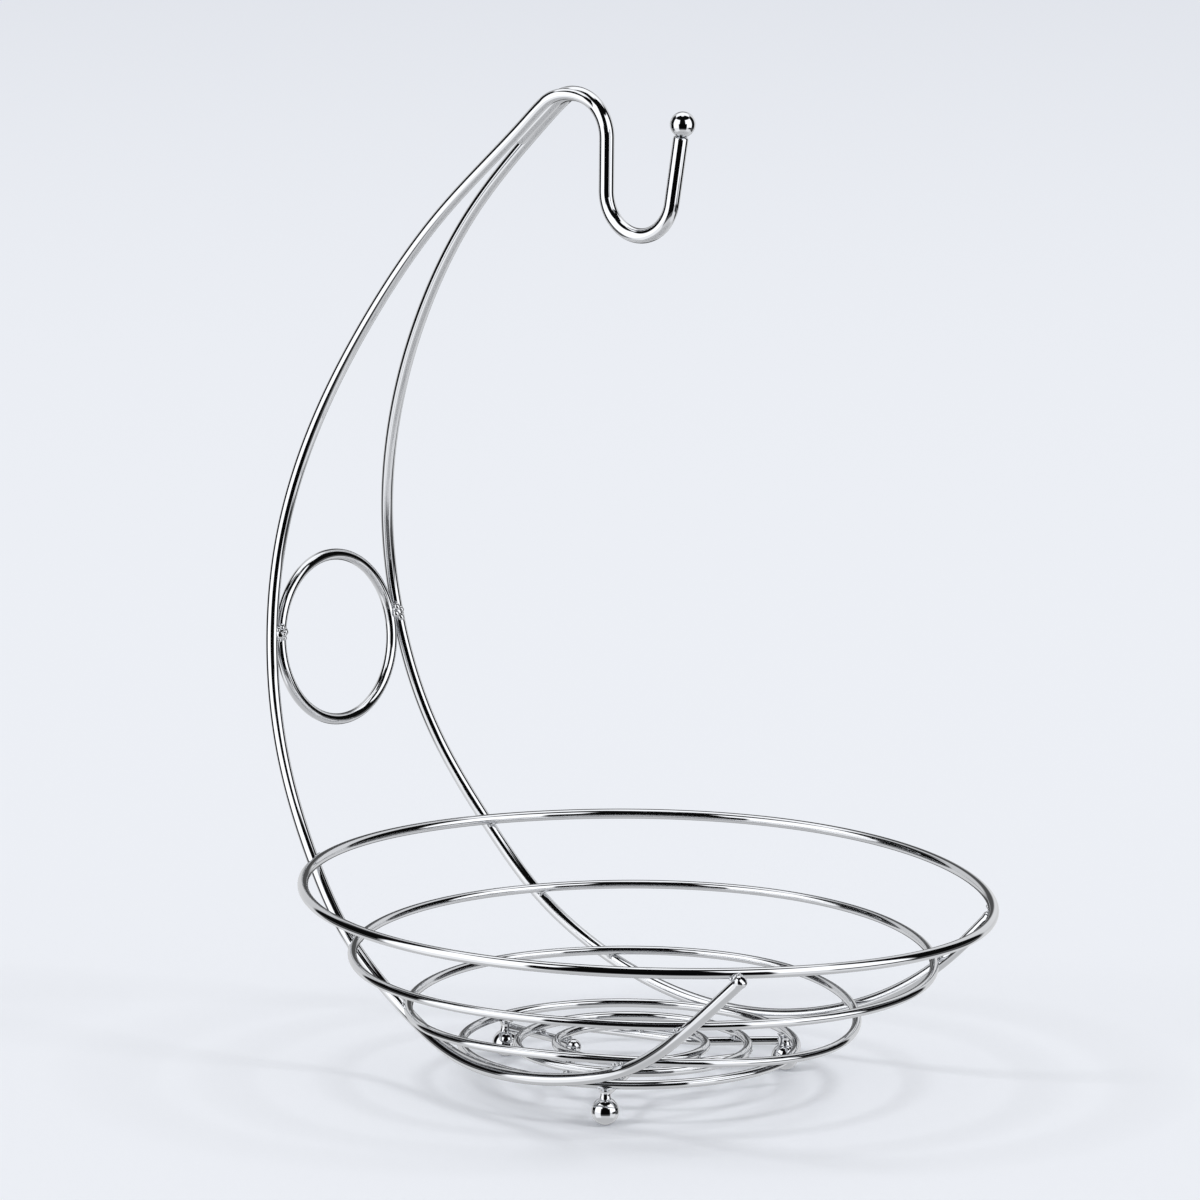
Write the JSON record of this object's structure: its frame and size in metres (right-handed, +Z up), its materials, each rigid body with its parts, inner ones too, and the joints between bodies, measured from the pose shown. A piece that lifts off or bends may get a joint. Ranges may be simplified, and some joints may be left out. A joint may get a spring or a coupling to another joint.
{
  "type": "fruit basket with banana hanger",
  "caption": "Round welded wire fruit bowl on ball feet, with an arched double-wire stand rising behind it to an S-shaped banana hook.",
  "frame": {"origin": "middle of the bounding box in X and Y, at table level", "axes": "+Z up, +X from the arch towards the front of the bowl, +Y towards the right frame wire"},
  "size_m": [0.3145, 0.2802, 0.3994],
  "materials": {
    "ring_chrome": "polished chrome plate on steel wire",
    "frame_chrome": "polished chrome plate on steel wire",
    "hook_chrome": "polished chrome plate on a thicker steel rod and ball",
    "foot_chrome": "polished chrome plate on small steel balls, studs and thin wire"
  },
  "bodies": {
    "root": {"rim_ring": "ring_chrome", "bowl_ring_upper": "ring_chrome", "bowl_ring_lower": "ring_chrome", "base_ring_outer": "ring_chrome", "base_ring_middle": "ring_chrome", "base_ring_inner": "ring_chrome", "frame_wire_left": "frame_chrome", "frame_wire_right": "frame_chrome", "neck_ring": "frame_chrome", "hook_wire": "hook_chrome", "hook_ball": "hook_chrome", "leg_wire_back": "foot_chrome", "leg_wire_front_left": "foot_chrome", "leg_wire_front_right": "foot_chrome", "foot_stud_back": "foot_chrome", "foot_stud_front_left": "foot_chrome", "foot_stud_front_right": "foot_chrome", "foot_ball_back": "foot_chrome", "foot_ball_front_left": "foot_chrome", "foot_ball_front_right": "foot_chrome"}
  },
  "joints": []
}
